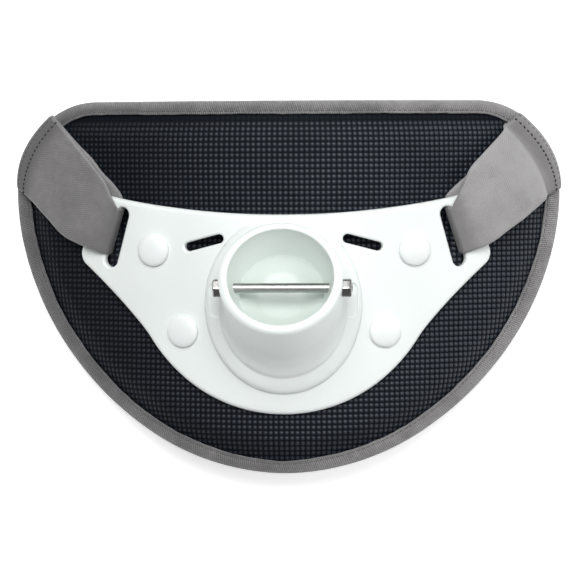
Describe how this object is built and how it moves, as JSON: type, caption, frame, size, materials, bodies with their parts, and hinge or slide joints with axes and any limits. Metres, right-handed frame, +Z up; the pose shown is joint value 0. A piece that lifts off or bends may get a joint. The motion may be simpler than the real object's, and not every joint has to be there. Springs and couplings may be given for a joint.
{
  "type": "fishing fighting belt",
  "caption": "Curved padded waist panel with bound edge, moulded winged plate, tilted rod cup with cross pin, and webbing straps.",
  "frame": {"origin": "middle of the footprint on the surface that the belt lies on", "axes": "+X to the right across the waist as the picture shows it, +Y towards the belt's straight top edge, +Z up from the surface, out through the front of the belt"},
  "size_m": [0.3102, 0.2056, 0.1004],
  "materials": {
    "pad_cover": "embossed coated fabric, small square domes, satin",
    "binding_tape": "ribbed woven tape, matt",
    "webbing": "fine flat webbing, slight sheen",
    "moulding": "white moulded plastic, soft gloss",
    "rivet": "white moulded caps, soft gloss",
    "steel": "drawn stainless steel"
  },
  "bodies": {
    "root": {"pad_cushion": "pad_cover", "edge_binding": "binding_tape", "gimbal_plate": "moulding", "cross_pin": "steel", "pin_nut": "steel", "strap_left": "webbing", "strap_right": "webbing", "rivet_upper_left": "rivet", "rivet_upper_right": "rivet", "rivet_lower_left": "rivet", "rivet_lower_right": "rivet"}
  },
  "joints": []
}
